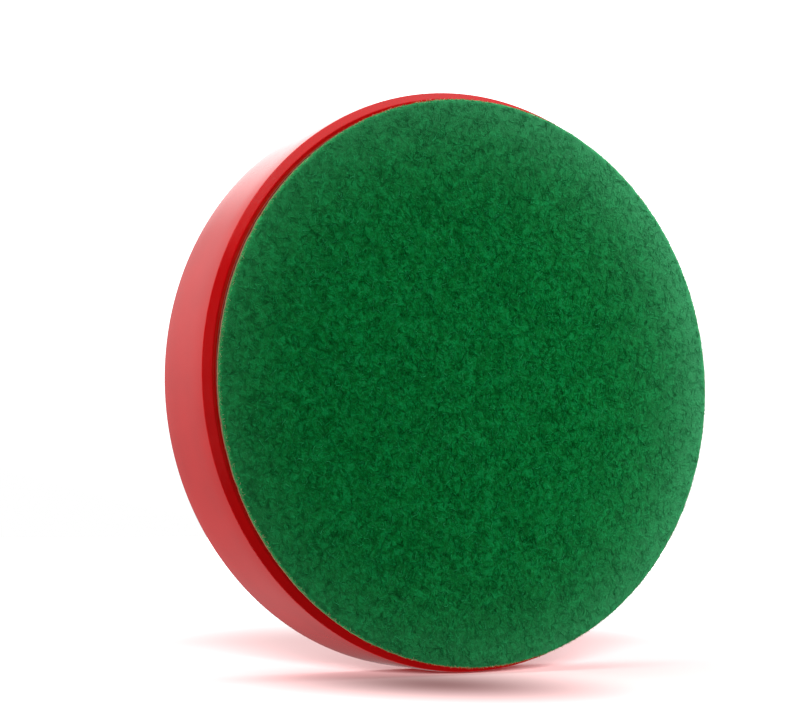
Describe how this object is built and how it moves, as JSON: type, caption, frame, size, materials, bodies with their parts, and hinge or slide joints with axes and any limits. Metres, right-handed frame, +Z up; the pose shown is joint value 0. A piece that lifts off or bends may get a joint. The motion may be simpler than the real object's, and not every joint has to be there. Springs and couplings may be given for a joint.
{
  "type": "felt polishing wheel",
  "caption": "Flat polishing wheel: a green felt disc held by hook and loop on a red moulded backing cup with a threaded steel hub flange.",
  "frame": {"origin": "centre of the wheel, on its axis, halfway between the felt's face and the back", "axes": "+Y along the wheel's axis, from the felt towards the machine's spindle; +Z up; the felt faces -Y"},
  "size_m": [0.1, 0.019, 0.1],
  "materials": {
    "red_plastic": "glossy moulded",
    "hub_steel": "turned, zinc plated",
    "plate_steel": "plain stamped",
    "hook_nylon": "dense moulded hooks",
    "rivet_steel": "domed, bright",
    "loop_fabric": "olive brushed loops",
    "green_felt": "dense pressed felt"
  },
  "bodies": {
    "holder": {"backing_cup": "red_plastic", "hub_flange": "hub_steel", "clamp_plate": "plate_steel", "hook_sheet": "hook_nylon", "rivet_1": "rivet_steel", "rivet_2": "rivet_steel", "rivet_3": "rivet_steel", "rivet_4": "rivet_steel", "rivet_5": "rivet_steel", "rivet_6": "rivet_steel"},
    "felt_pad": {"loop_backing": "loop_fabric", "felt_disc": "green_felt"}
  },
  "joints": [
    {"name": "felt_pull_off", "type": "slide", "parent": "holder", "child": "felt_pad", "axis": [0, -1, 0], "range_m": [0, 0.03]}
  ]
}
